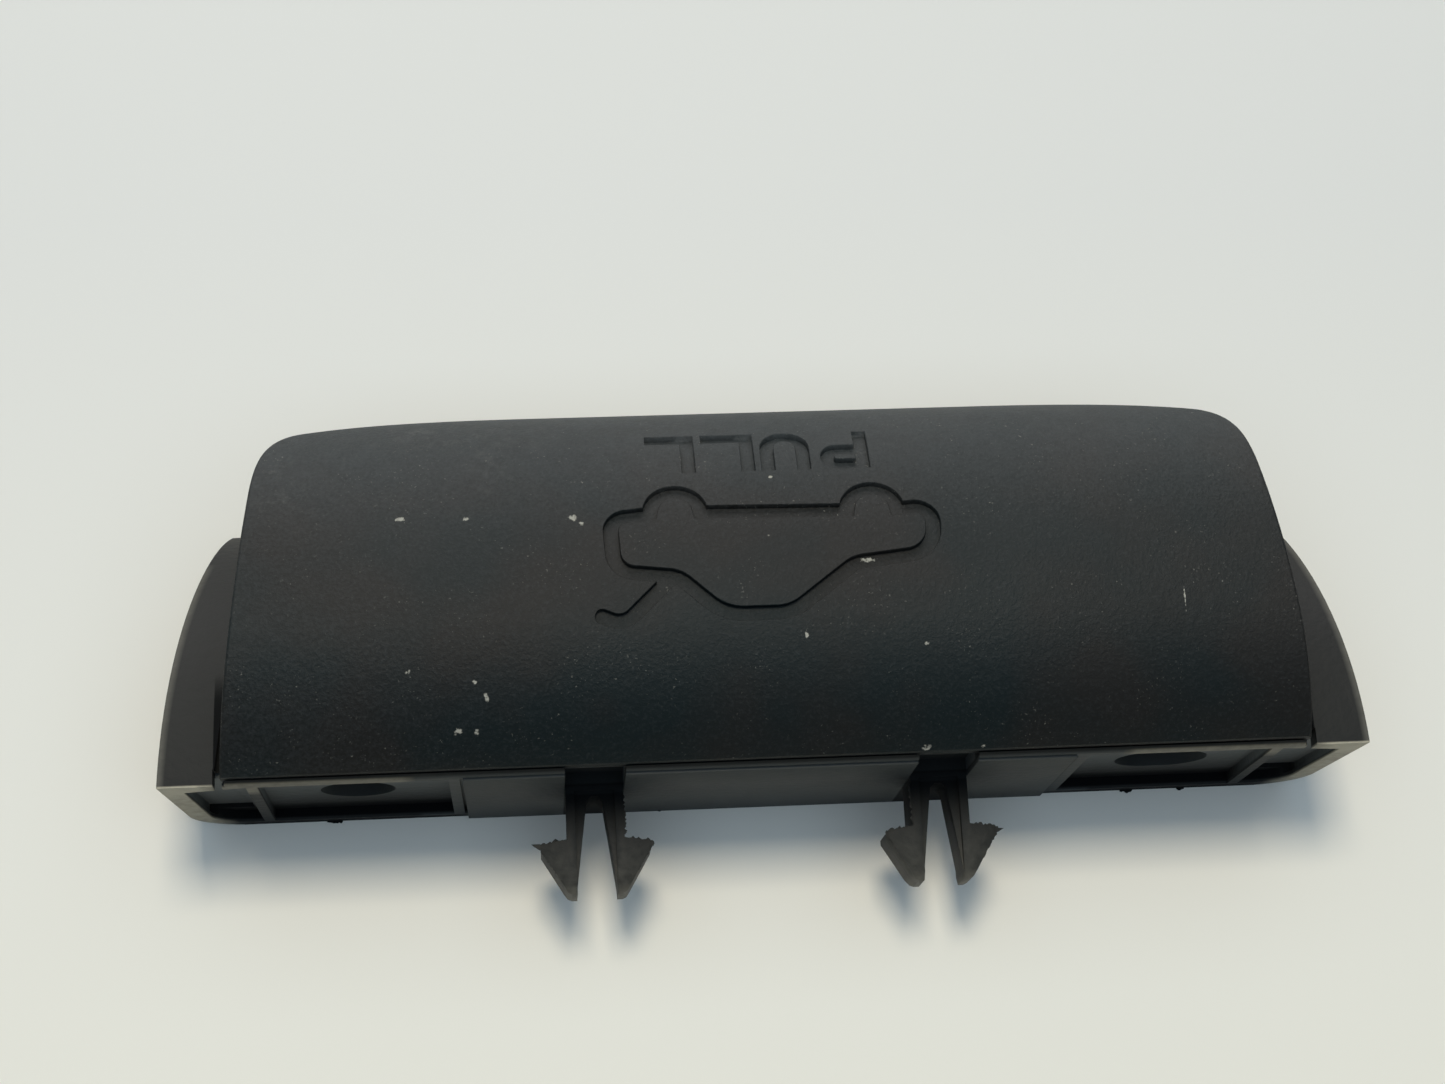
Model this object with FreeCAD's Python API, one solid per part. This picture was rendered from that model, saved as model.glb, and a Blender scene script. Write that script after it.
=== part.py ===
import FreeCAD, Part
import math
import os

# Trunk pull handle: a moulded carrier with two snap clips, and a curved grip cover.
# Millimetres. X runs along the handle, +Y goes from the mounting face into the grip,
# +Z is up. The origin is the middle of the pad that lies on the trunk lid.

# Mounting face
face_length = 175.0
face_height = 32.0
face_end_lean = 2.4
face_corner_radius = 9.0
rim_setback = 0.4
plate_thickness = 3.8
pocket_depth = 1.8
pocket_top_wall = 2.0
pocket_bottom_wall = 2.4
pocket_end_wall = 3.0
pocket_top_slope = 2.2

# Central pad and the strips beside it
pad_length = 88.8
pad_top_step = 0.8
pad_wall = 2.0
groove_width = 0.5
groove_depth = 0.6
strip_width = 1.6
relief_top_wall = 5.0
relief_bottom_wall = 3.0

# Ribs and latch windows of the end pockets
rib_from_end = 13.1
rib_thickness = 1.6
rib_setback = 0.9
rib_top_margin = 1.5
rib_bottom_margin = 1.0
window_width = 6.8
window_height = 3.6
window_inset = 1.2
window_bar = 2.8

# Fixing holes: one round, one a slot that takes up tolerance
hole_from_rib = 14.2
round_hole_diameter = 11.0
slot_hole_width = 11.0
slot_hole_length = 14.0

# Snap clips
clip_pitch = 51.0
clip_height = 9.0
clip_root_width = 8.4
clip_tip_width = 8.7
clip_length = 15.2
clip_tip_chamfer = 1.2
clip_tip_bevel = 0.6
leaf_thickness = 1.25
leaf_tip_taper = 2.0
web_step = 1.0
web_tip_setback = 1.0
arch_depth = 0.8
arch_width = 2.4
arch_chamfer = 0.7
tip_gap = 5.9
barb_reach = 3.9
barb_start = 7.2
barb_slant = 0.7
barb_land = 0.7
notch_depth = 2.6
notch_clearance = 0.3
root_sink = 0.6

# Section of the grip: three tangent arcs from the front edge over the crest to the free edge
front_setback = 0.8
front_rise = 2.0
front_angle = 46.0
front_radius = 26.5
crown_radius = 55.0
crown_angle = 28.0
skirt_radius = 22.0
skirt_angle = 80.0

# Grip cover
cover_wall = 1.8
cover_end_margin = 9.0
cover_side_taper = 6.3
cover_corner_radius = 8.0
cover_arch = 10.6
cover_lip = 1.6
cover_lip_depth = 2.4
cover_lip_start = 7.0
cover_edge_round = 0.5

# Fits between the cover and the carrier
bed_gap = 0.2
lip_gap = 0.3
slit_gap = 1.1
slit_depth = 2.0
slit_notch_width = 1.6
slit_notch_height = 1.0

# Carrier behind the face
liner_wall = 2.0
ledge_drop = 0.7
wing_round = 48.5
wing_depth = 45.6
wing_mid_depth = 23.6
wing_mid_sweep = 2.5
wing_tip_sweep = 7.4
wing_wall = 3.2
side_wall = 2.2
gusset_offsets = (12.0, 40.0)
gusset_thickness = 1.6
gusset_depth = 11.0
gusset_height = 11.0

# Hooks that hold the cover down through slots in the liner
hook_offsets = (26.0, 58.0)
hook_width = 8.0
hook_thickness = 1.4
hook_nose = 0.7
hook_tail = 1.2
hook_slot_gap = 0.3

# How far cutting shapes run past what they cut, and fused ones into what carries them
overrun = 1.0
overlap = 0.5
far = 200.0
blank_overrun = 29.0

# Worked out from the sizes above
z_top = face_height / 2
z_bottom = -face_height / 2
half_length = face_length / 2
rim_y = rim_setback
floor_y = rim_y + pocket_depth
plate_y = rim_y + plate_thickness
wing_back = rim_y + wing_depth
rib_offset = half_length - rib_from_end
hole_offset = rib_offset - hole_from_rib
cover_front_half = half_length - cover_end_margin
cover_free_half = cover_front_half - cover_side_taper
blank_start = -(front_angle + blank_overrun)
front_y = rim_y + front_setback
front_z = z_top + front_rise
bed_drop = cover_wall + bed_gap
liner_drop = bed_drop + liner_wall
core_inset = cover_lip + lip_gap


def radial(angle):
    """Unit vector in the section plane, turned from +Z towards +Y."""
    a = math.radians(angle)
    return FreeCAD.Vector(0, math.sin(a), math.cos(a))


front_start = FreeCAD.Vector(0, front_y, front_z)
front_centre = front_start - radial(-front_angle) * front_radius
crown_centre = front_centre + FreeCAD.Vector(0, 0, front_radius - crown_radius)
skirt_centre = crown_centre + radial(crown_angle) * (crown_radius - skirt_radius)
crest_y = crown_centre.y
crest_z = crown_centre.z + crown_radius


def section_arcs(drop):
    """Edges of the grip's section, a set depth below its outer skin."""
    spans = (
        (front_centre, front_radius, blank_start, 0.0),
        (crown_centre, crown_radius, 0.0, crown_angle),
        (skirt_centre, skirt_radius, crown_angle, skirt_angle),
    )
    edges = []
    for centre, radius, start, end in spans:
        points = [centre + radial(a) * (radius - drop) for a in (start, (start + end) / 2, end)]
        edges.append(Part.Arc(*points).toShape())
    return edges


def section_ends(drop):
    """First and last point of the section at a set depth."""
    first = front_centre + radial(blank_start) * (front_radius - drop)
    last = skirt_centre + radial(skirt_angle) * (skirt_radius - drop)
    return first, last


def along_x(edges, half_width):
    """Prism from a closed section in the YZ plane, to both sides of X = 0."""
    face = Part.Face(Part.Wire(Part.__sortEdges__(edges)))
    face.translate(FreeCAD.Vector(-half_width, 0, 0))
    return face.extrude(FreeCAD.Vector(2 * half_width, 0, 0))


def layer(outer_drop, inner_drop):
    """Curved slab between two depths below the outer skin, longer than the front needs."""
    outer_first, outer_last = section_ends(outer_drop)
    inner_first, inner_last = section_ends(inner_drop)
    edges = section_arcs(outer_drop) + section_arcs(inner_drop)
    edges.append(Part.makeLine(outer_first, inner_first))
    edges.append(Part.makeLine(outer_last, inner_last))
    return along_x(edges, half_length + overrun)


def below(drop):
    """Everything under the outer skin, down to a level below the part."""
    first, last = section_ends(drop)
    low_first = FreeCAD.Vector(0, first.y, -far)
    low_last = FreeCAD.Vector(0, last.y, -far)
    edges = section_arcs(drop)
    edges.append(Part.makeLine(first, low_first))
    edges.append(Part.makeLine(low_first, low_last))
    edges.append(Part.makeLine(low_last, last))
    return along_x(edges, half_length + overrun)


def box(x0, x1, y0, y1, z0, z1):
    return Part.makeBox(x1 - x0, y1 - y0, z1 - z0, FreeCAD.Vector(x0, y0, z0))


def mirrored(shape):
    """The shape and its mirror image about the middle plane X = 0."""
    return [shape, shape.mirror(FreeCAD.Vector(0, 0, 0), FreeCAD.Vector(1, 0, 0))]


def polygon_prism(points, direction):
    wire = Part.makePolygon(list(points) + [points[0]])
    return Part.Face(wire).extrude(direction)


def face_end_x(z):
    """Half length of the face at a height: the ends lean in towards the lower edge."""
    return half_length - face_end_lean * (z_top - z) / face_height


def lower_corners(prism, depth):
    """Edges of a prism along Y that stand at its lower outer corners."""
    return [
        e for e in prism.Edges
        if abs(e.Length - depth) < 0.001
        and abs(e.CenterOfMass.z - prism.BoundBox.ZMin) < 0.001
        and abs(e.CenterOfMass.x) > rib_offset + rib_thickness
    ]


def face_prism(y0, y1):
    """Outline of the mounting face, carried from y0 to y1."""
    points = [
        FreeCAD.Vector(-face_end_x(z_top), y0, z_top),
        FreeCAD.Vector(face_end_x(z_top), y0, z_top),
        FreeCAD.Vector(face_end_x(z_bottom), y0, z_bottom),
        FreeCAD.Vector(-face_end_x(z_bottom), y0, z_bottom),
    ]
    prism = polygon_prism(points, FreeCAD.Vector(0, y1 - y0, 0))
    return prism.makeFillet(face_corner_radius, lower_corners(prism, y1 - y0))


def cover_half(y):
    """Half width of the grip cover at a distance from the front edge."""
    share = (y - front_y) / (section_ends(0.0)[1].y - front_y)
    return cover_front_half - cover_side_taper * share


def cover_plan(inset, y0):
    """Plan of the cover as a tall prism, with tapering sides."""
    y1 = front_y + 2 * crown_radius
    points = [
        FreeCAD.Vector(-cover_half(y0) + inset, y0, -far),
        FreeCAD.Vector(cover_half(y0) - inset, y0, -far),
        FreeCAD.Vector(cover_half(y1) - inset, y1, -far),
        FreeCAD.Vector(-cover_half(y1) + inset, y1, -far),
    ]
    return polygon_prism(points, FreeCAD.Vector(0, 0, 2 * far))


def cover_column(inset, y0):
    """Plan of the cover closed below by the arched free edge, the two corners rounded."""
    free_z = section_ends(0.0)[1].z + inset
    left = FreeCAD.Vector(-cover_free_half, 0, free_z + cover_arch)
    right = FreeCAD.Vector(cover_free_half, 0, free_z + cover_arch)
    middle = FreeCAD.Vector(0, 0, free_z)
    radius = Part.Arc(left, middle, right).toShape().Curve.Radius
    centre = FreeCAD.Vector(0, -far, free_z + radius)
    disc = Part.makeCylinder(radius, 2 * far, centre, FreeCAD.Vector(0, 1, 0))
    plan = cover_plan(inset, y0)
    column = plan.common(disc)
    corners = [
        e for e in column.Edges
        if abs(e.CenterOfMass.x) > cover_free_half / 2
        and e.CenterOfMass.z < crest_z
        and e.BoundBox.YLength > crown_radius
    ]
    column = column.makeFillet(cover_corner_radius - inset, corners)
    rear = column.common(box(-far, far, crest_y, far, -far, far))
    front = plan.common(box(-far, far, -far, crest_y, -far, far))
    return rear.fuse(front).removeSplitter()


def sheet_blank(outer_drop, inner_drop, inset, y0):
    """A layer of the grip trimmed to the cover's outline."""
    return layer(outer_drop, inner_drop).common(cover_column(inset, y0))


def is_skin(face):
    """True for a face of the outer skin, which is part of one of the three section arcs."""
    surface = face.Surface
    if not isinstance(surface, Part.Cylinder) or abs(surface.Axis.x) < 0.99:
        return False
    return any(abs(surface.Radius - r) < 0.001 for r in (front_radius, crown_radius, skirt_radius))


def skin_rim_edges(shape):
    """Edges where the outer skin ends."""
    rim = []
    for edge in shape.Edges:
        faces = shape.ancestorsOfType(edge, Part.Face)
        if sum(is_skin(f) for f in faces) == 1:
            rim.append(edge)
    return rim


def make_cover():
    """Outer sheet with a lip that wraps the liner's edge, and hooks underneath."""
    depth = cover_wall + cover_lip_depth
    shell = sheet_blank(0.0, depth, 0.0, front_y)
    inner = sheet_blank(cover_wall, depth + overrun, cover_lip, front_y - depth)
    lipless = box(-far, far, -far, cover_lip_start, -far, far)
    front_part = layer(cover_wall, depth + overrun).common(lipless)
    shell = shell.cut(inner).cut(front_part)
    shell = shell.makeFillet(cover_edge_round, skin_rim_edges(shell))
    hooks = []
    for offset in hook_offsets:
        hooks += mirrored(make_hook(offset))
    return shell.multiFuse(hooks).removeSplitter()


def make_hook(offset):
    """Leaf that drops from the cover at its crest, with a nose that catches the liner."""
    under = crest_z - liner_drop
    y0 = crest_y - hook_thickness / 2
    y1 = crest_y + hook_thickness / 2
    catch = under - bed_gap / 2
    points = [
        FreeCAD.Vector(offset - hook_width / 2, y0, crest_z - cover_wall / 2),
        FreeCAD.Vector(offset - hook_width / 2, y1, crest_z - cover_wall / 2),
        FreeCAD.Vector(offset - hook_width / 2, y1, catch),
        FreeCAD.Vector(offset - hook_width / 2, y1 + hook_nose, catch),
        FreeCAD.Vector(offset - hook_width / 2, y1, catch - hook_tail),
        FreeCAD.Vector(offset - hook_width / 2, y0, catch - hook_tail),
    ]
    return polygon_prism(points, FreeCAD.Vector(hook_width, 0, 0))


def hook_slot(offset):
    """Slot in the liner that a hook's nose can pass."""
    half = hook_width / 2 + hook_slot_gap
    y0 = crest_y - hook_thickness / 2 - hook_slot_gap - hook_nose
    y1 = crest_y + hook_thickness / 2 + hook_slot_gap
    return box(offset - half, offset + half, y0, y1, crest_z - liner_drop - overrun, crest_z)


def wing_plan(inset, y0, y1):
    """Plan of the carrier: its ends sweep in along an arc towards the back."""
    start = FreeCAD.Vector(half_length - inset, rim_y, -far)
    middle = FreeCAD.Vector(half_length - wing_mid_sweep - inset, rim_y + wing_mid_depth, -far)
    end = FreeCAD.Vector(half_length - wing_tip_sweep - inset, wing_back, -far)
    edges = []
    for side in (1, -1):
        turned = [FreeCAD.Vector(side * p.x, p.y, p.z) for p in (start, middle, end)]
        edges.append(Part.Arc(*turned).toShape())
    for point in (start, end):
        other = FreeCAD.Vector(-point.x, point.y, point.z)
        edges.append(Part.makeLine(point, other))
    face = Part.Face(Part.Wire(Part.__sortEdges__(edges)))
    prism = face.extrude(FreeCAD.Vector(0, 0, 2 * far))
    return prism.common(box(-far, far, y0, y1, -far, far))


def under_wing(drop):
    """Everything under the wings' top, which starts level at the rim and rounds down."""
    axis = FreeCAD.Vector(-far, rim_y, z_top - wing_round)
    return Part.makeCylinder(wing_round - drop, 2 * far, axis, FreeCAD.Vector(1, 0, 0))


def wing_room():
    """Hollow inside the wings: lower corners rounded like the face, open below for the hand."""
    low = z_bottom + side_wall
    points = [
        FreeCAD.Vector(-face_end_x(z_top) + side_wall, plate_y, z_top),
        FreeCAD.Vector(face_end_x(z_top) - side_wall, plate_y, z_top),
        FreeCAD.Vector(face_end_x(low) - side_wall, plate_y, low),
        FreeCAD.Vector(-face_end_x(low) + side_wall, plate_y, low),
    ]
    depth = wing_depth
    room = polygon_prism(points, FreeCAD.Vector(0, depth, 0))
    room = room.makeFillet(face_corner_radius - side_wall, lower_corners(room, depth))
    mouth_half = face_end_x(z_bottom) - face_corner_radius
    mouth = box(-mouth_half, mouth_half, plate_y, plate_y + depth, -far, low + overlap)
    room = room.fuse(mouth).common(wing_plan(side_wall, plate_y, wing_back))
    return room.common(under_wing(wing_wall))


def core_room():
    """Hollow under the liner, between the side walls."""
    plan = cover_plan(core_inset + side_wall, plate_y)
    return plan.common(below(liner_drop))


def slit_cut():
    """Slit in the wings along both sides of the cover, with a notch in the rim at its end."""
    start = front_y - bed_gap
    ring = cover_plan(-slit_gap, start).cut(cover_plan(core_inset, start - overrun))
    ring = ring.common(box(-far, far, start, wing_back, z_bottom + side_wall, far))
    x0 = cover_front_half + slit_gap - slit_notch_width
    z0 = z_top - slit_notch_height
    notch = box(x0, x0 + slit_notch_width, -overrun, start + overlap, z0, far)
    return [ring.cut(under_wing(slit_depth))] + mirrored(notch)


def lip_room():
    """Room in the side walls for the cover's lip where it turns round the rear corners."""
    ring = layer(0.0, cover_wall + cover_lip_depth + lip_gap)
    ring = ring.common(cover_plan(0.0, crest_y - lip_gap))
    return ring.cut(cover_column(core_inset, front_y))


def make_housing():
    """Plate, core and wings in one block, hollowed from below."""
    above = box(-half_length, half_length, rim_y, wing_back, z_top, far)
    block = face_prism(rim_y, wing_back).fuse(above)
    skin = below(ledge_drop)
    core = block.common(cover_plan(core_inset, rim_y)).common(skin)
    ledge_box = box(-cover_front_half, cover_front_half, rim_y, front_y, z_bottom, far)
    ledge = ledge_box.common(skin)
    wings = block.common(wing_plan(0.0, rim_y, wing_back)).common(under_wing(0.0))
    outer = wings.fuse(core).fuse(ledge).cut(core_room()).cut(wing_room()).cut(lip_room())
    return outer.cut(Part.Compound(slit_cut()))


def pocket_cells():
    """Recesses of the face: a long one and an end one on each side of the pad."""
    front = rim_y - overrun
    top = z_top - pocket_top_wall
    bottom = z_bottom + pocket_bottom_wall
    long_start = pad_length / 2 + groove_width + strip_width
    long_cell = box(long_start, rib_offset - rib_thickness / 2, front, floor_y, bottom, top)
    end_start = rib_offset + rib_thickness / 2
    low = top - pocket_top_slope
    points = [
        FreeCAD.Vector(end_start, front, bottom),
        FreeCAD.Vector(face_end_x(bottom) - pocket_end_wall, front, bottom),
        FreeCAD.Vector(face_end_x(low) - pocket_end_wall, front, low),
        FreeCAD.Vector(end_start, front, top),
    ]
    end_cell = polygon_prism(points, FreeCAD.Vector(0, floor_y - front, 0))
    corner = lower_corners(end_cell, floor_y - front)
    end_cell = end_cell.makeFillet(face_corner_radius - pocket_end_wall, corner)
    return mirrored(long_cell) + mirrored(end_cell)


def make_rib():
    """Low rib between the long pocket and the end pocket."""
    x0 = rib_offset - rib_thickness / 2
    z0 = z_bottom + rib_bottom_margin
    z1 = z_top - rib_top_margin
    return box(x0, x0 + rib_thickness, rim_y + rib_setback, floor_y + overlap, z0, z1)


def latch_window():
    """Slot through the floor of an end pocket, above a narrow bar."""
    x0 = rib_offset + rib_thickness / 2 + window_inset
    z0 = z_bottom + pocket_bottom_wall + window_bar
    y0 = floor_y - overrun
    y1 = plate_y + overrun
    return box(x0, x0 + window_width, y0, y1, z0, z0 + window_height)


def hole_cylinder(x, diameter):
    """Cutting cylinder through the plate, on the centre line of the face."""
    start = FreeCAD.Vector(x, -overrun, 0)
    return Part.makeCylinder(diameter / 2, plate_y + 2 * overrun, start, FreeCAD.Vector(0, 1, 0))


def fixing_holes():
    """Round hole on one side, slotted hole on the other."""
    half = slot_hole_width / 2
    reach = slot_hole_length / 2 - half
    x0 = hole_offset - reach
    x1 = hole_offset + reach
    slot = box(x0, x1, -overrun, plate_y + overrun, -half, half)
    slot = slot.multiFuse([hole_cylinder(x, slot_hole_width) for x in (x0, x1)])
    return [hole_cylinder(-hole_offset, round_hole_diameter), slot]


def make_pad():
    """Raised pad that lies on the lid."""
    return box(-pad_length / 2, pad_length / 2, 0, rim_y + overlap, z_bottom, z_top - pad_top_step)


def pad_grooves():
    """Narrow groove along each end of the pad."""
    x0 = pad_length / 2
    z0 = z_bottom + pocket_bottom_wall
    z1 = z_top - pocket_top_wall
    return mirrored(box(x0, x0 + groove_width, -overrun, rim_y + groove_depth, z0, z1))


def pad_reliefs():
    """Cells behind the pad that keep its wall even, left full behind the clips."""
    low = z_bottom + relief_bottom_wall
    high = z_top - relief_top_wall
    clip_edge = clip_root_width / 2 + strip_width
    inner = clip_pitch / 2 - clip_edge
    outer = clip_pitch / 2 + clip_edge
    back = plate_y + overrun
    middle = box(-inner, inner, pad_wall, back, low, high)
    side = box(outer, pad_length / 2, pad_wall, back, low, high)
    return [middle] + mirrored(side)


def clip_notch():
    """Notch in the pad and rim above a clip's root."""
    half = clip_root_width / 2 + notch_clearance / 2
    x0 = clip_pitch / 2
    return box(x0 - half, x0 + half, -overrun, notch_depth, clip_height / 2, z_top + overrun)


def prong_pair(points, height):
    """Right and left prong, from points given as (offset from centre, distance out)."""
    pair = []
    for side in (1, -1):
        corners = [FreeCAD.Vector(clip_pitch / 2 + side * u, -v, -height / 2) for u, v in points]
        pair.append(polygon_prism(corners, FreeCAD.Vector(0, 0, height)))
    return pair


def make_clip():
    """Two prongs with barbs, each a thin leaf stiffened by a lower tapered web."""
    root = -(notch_depth + root_sink)
    half_root = clip_root_width / 2
    half_tip = clip_tip_width / 2
    inner = half_root - leaf_thickness
    barb_top = half_root + barb_reach
    land = barb_start + barb_slant
    leaf = (
        (inner, root),
        (half_root, root),
        (half_root, barb_start),
        (barb_top, land),
        (barb_top, land + barb_land),
        (half_tip, clip_length - clip_tip_bevel / 2),
        (half_tip - clip_tip_bevel, clip_length),
        (tip_gap / 2, clip_length),
        (inner, clip_length - leaf_tip_taper),
    )
    web_outer = half_root - leaf_thickness / 2
    web_end = clip_length - web_tip_setback
    web = (
        (0.0, root),
        (web_outer, root),
        (web_outer, web_end),
        (tip_gap / 2, web_end),
        (arch_width / 2, arch_depth + arch_chamfer),
        (arch_width / 2 - arch_chamfer, arch_depth),
        (0.0, arch_depth),
    )
    prongs = prong_pair(leaf, clip_height) + prong_pair(web, clip_height - 2 * web_step)
    return prongs[0].multiFuse(prongs[1:]).common(clip_side_profile())


def clip_side_profile():
    """Side view of a clip: its tips are chamfered above and below."""
    half = clip_height / 2
    taper_start = -clip_length + clip_tip_chamfer
    half_view = [
        FreeCAD.Vector(0, plate_y, half),
        FreeCAD.Vector(0, taper_start, half),
        FreeCAD.Vector(0, -clip_length, half - clip_tip_chamfer),
    ]
    lower = [FreeCAD.Vector(p.x, p.y, -p.z) for p in reversed(half_view)]
    return polygon_prism(half_view + lower, FreeCAD.Vector(far, 0, 0))


def make_gusset(offset):
    """Small web in the corner between the plate and the liner."""
    x0 = offset - gusset_thickness / 2
    low = z_top - gusset_height
    points = [
        FreeCAD.Vector(x0, plate_y - overlap, low),
        FreeCAD.Vector(x0, plate_y - overlap, crest_z),
        FreeCAD.Vector(x0, plate_y + gusset_depth, crest_z),
        FreeCAD.Vector(x0, plate_y, low),
    ]
    web = polygon_prism(points, FreeCAD.Vector(gusset_thickness, 0, 0))
    return web.common(below(bed_drop + overlap))


def make_carrier():
    """Mounting face, wings, side walls, liner and clips, moulded as one piece."""
    bed = layer(-front_radius, bed_drop).common(cover_plan(-slit_gap, front_y - bed_gap))
    housing = make_housing().cut(bed)
    liner = sheet_blank(bed_drop, liner_drop, core_inset, plate_y - overlap)
    body = housing.multiFuse([liner, make_pad()])
    body = body.cut(Part.Compound(pocket_cells()))
    gussets = []
    for offset in gusset_offsets:
        gussets += mirrored(make_gusset(offset))
    body = body.multiFuse(mirrored(make_rib()) + gussets)
    cuts = fixing_holes() + pad_grooves() + pad_reliefs()
    cuts += mirrored(latch_window()) + mirrored(clip_notch())
    for offset in hook_offsets:
        cuts += mirrored(hook_slot(offset))
    body = body.cut(Part.Compound(cuts))
    return body.multiFuse(mirrored(make_clip())).removeSplitter()


parts = {
    "carrier": make_carrier(),
    "grip_cover": make_cover(),
}

os.makedirs("parts", exist_ok=True)
for name, shape in parts.items():
    if len(shape.Solids) == 1:
        shape = shape.Solids[0]
    shape.exportStep("parts/" + name + ".step")
    bounds = shape.BoundBox
    print(
        name, "solids", len(shape.Solids), "valid", shape.isValid(),
        "volume", round(shape.Volume, 1),
        "x", round(bounds.XMin, 2), round(bounds.XMax, 2),
        "y", round(bounds.YMin, 2), round(bounds.YMax, 2),
        "z", round(bounds.ZMin, 2), round(bounds.ZMax, 2),
    )
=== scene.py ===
# %% [markdown]
# # Trunk pull handle
# The handle is two mouldings: a carrier with the mounting face, the snap clips and the two wings,
# and a curved grip cover between the wings. The measured model comes in first and stays where it
# is. Everything made here is in metres, in its frame: X along the handle, +Y from the mounting
# face into the grip, +Z up. Lengths on the handle are written in millimetres, times MM.

# %% Load the measured model
import math
import random
import bpy
from mathutils import Matrix, Vector


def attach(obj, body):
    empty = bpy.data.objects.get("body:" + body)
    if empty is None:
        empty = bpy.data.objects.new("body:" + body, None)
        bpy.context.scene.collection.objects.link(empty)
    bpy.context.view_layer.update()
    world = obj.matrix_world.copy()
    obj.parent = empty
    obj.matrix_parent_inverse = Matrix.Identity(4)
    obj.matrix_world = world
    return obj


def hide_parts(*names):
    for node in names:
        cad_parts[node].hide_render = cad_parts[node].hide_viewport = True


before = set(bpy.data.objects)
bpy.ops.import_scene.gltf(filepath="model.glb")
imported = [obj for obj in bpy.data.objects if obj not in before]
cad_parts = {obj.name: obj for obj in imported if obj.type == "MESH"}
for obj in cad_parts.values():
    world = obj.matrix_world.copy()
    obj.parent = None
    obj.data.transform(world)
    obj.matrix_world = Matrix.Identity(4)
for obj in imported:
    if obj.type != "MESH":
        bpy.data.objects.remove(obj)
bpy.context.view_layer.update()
MM = 0.001
scene = bpy.context.scene

# %% [markdown]
# ## Camera
# The picture is taken from above and a little in front of the mounting face, from about 40 cm,
# so the near face shows more foreshortened than the grip. Place, turn and focal length are the
# ones that make the model's corners meet the picture's.

# %% Make the camera
CAMERA_PLACE = Vector((-34.93, -71.55, 394.80)) * MM
CAMERA_TURN = [math.radians(a) for a in (15.712, -3.615, -2.916)]
SENSOR_WIDTH = 36.0
FOCAL_PIXELS = 2688.0
PICTURE_WIDTH = 1445

camera_data = bpy.data.cameras.new("camera")
camera_data.sensor_width = SENSOR_WIDTH
camera_data.lens = FOCAL_PIXELS / PICTURE_WIDTH * SENSOR_WIDTH
camera_data.clip_start = 0.01
camera = bpy.data.objects.new("camera", camera_data)
scene.collection.objects.link(camera)
camera.location = CAMERA_PLACE
camera.rotation_euler = CAMERA_TURN
scene.camera = camera
print("lens mm", round(camera_data.lens, 2))

# %% [markdown]
# ## Shader maths
# Shader maths reads best as plain sums, so a small class wraps a socket and turns Python's
# operators into Math nodes. One method makes every other node. Masks are ramps between two places
# on the piece, so each of them is a rise or a fall.


# %% Write shader maths as expressions
class Value:
    """A socket that can be added, multiplied and divided like a number."""

    def __init__(self, finish, socket):
        self.finish = finish
        self.socket = socket

    def combine(self, operation, other=None, swapped=False):
        """A Math node on this value, and on another where the operation takes two."""
        pair = (other, self) if swapped else (self, other)
        values = [v for v in pair if v is not None]
        return self.finish.node("ShaderNodeMath", {"operation": operation}, *values)

    def __add__(self, other):
        return self.combine("ADD", other)

    def __sub__(self, other):
        return self.combine("SUBTRACT", other)

    def __rsub__(self, other):
        return self.combine("SUBTRACT", other, swapped=True)

    def __mul__(self, other):
        return self.combine("MULTIPLY", other)

    def __truediv__(self, other):
        return self.combine("DIVIDE", other)

    __radd__ = __add__
    __rmul__ = __mul__

    def power(self, other):
        return self.combine("POWER", other)

    def absolute(self):
        return self.combine("ABSOLUTE")

    def between(self, low, high):
        """0 below low, 1 above high, and a straight ramp between them."""
        return self.finish.node("ShaderNodeMapRange", {"clamp": True}, self, low, high, 0.0, 1.0)

    def rise(self, low, high):
        """The same ramp between two places in millimetres."""
        return self.between(low * MM, high * MM)

    def fall(self, low, high):
        """A ramp from 1 down to 0 between two places in millimetres."""
        return 1.0 - self.rise(low, high)


class Finish:
    """A new material and its node tree."""

    def __init__(self, name):
        self.material = bpy.data.materials.new(name)
        self.material.use_nodes = True
        self.nodes = self.material.node_tree.nodes
        self.links = self.material.node_tree.links
        self.shader = self.nodes["Principled BSDF"]

    def feed(self, socket, value):
        if isinstance(value, Value):
            self.links.new(value.socket, socket)
        else:
            socket.default_value = value

    def node(self, kind, settings=None, *values, output=0, **named):
        """A node from its type, its settings, and the values or links of its sockets."""
        made = self.nodes.new(kind)
        for key, value in (settings or {}).items():
            setattr(made, key, value)
        for index, value in enumerate(values):
            self.feed(made.inputs[index], value)
        for key, value in named.items():
            self.feed(made.inputs[key.replace("_", " ")], value)
        return Value(self, made.outputs[output])

    def place(self):
        return self.node("ShaderNodeTexCoord", output="Object")

    def axes(self):
        """The three object coordinates, in metres."""
        split = self.node("ShaderNodeSeparateXYZ", None, self.place())
        return [Value(self, socket) for socket in split.socket.node.outputs]

    def noise(self, scale, detail=2.0, roughness=0.5):
        return self.node(
            "ShaderNodeTexNoise", Vector=self.place(), Scale=scale, Detail=detail,
            Roughness=roughness,
        )

    def bump(self, height, strength, distance):
        return self.node("ShaderNodeBump", Strength=strength, Distance=distance, Height=height)

    def blend(self, share, first, second):
        """The first colour, and the second one where the share is 1. The node has sockets for
        numbers, vectors and colours, so the ones for colours are told by their places."""
        made = self.nodes.new("ShaderNodeMix")
        made.data_type = "RGBA"
        self.feed(made.inputs[0], share)
        self.feed(made.inputs[6], first)
        self.feed(made.inputs[7], second)
        return Value(self, made.outputs[2])

    def set(self, **sockets):
        for key, value in sockets.items():
            self.feed(self.shader.inputs[key.replace("_", " ")], value)


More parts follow.
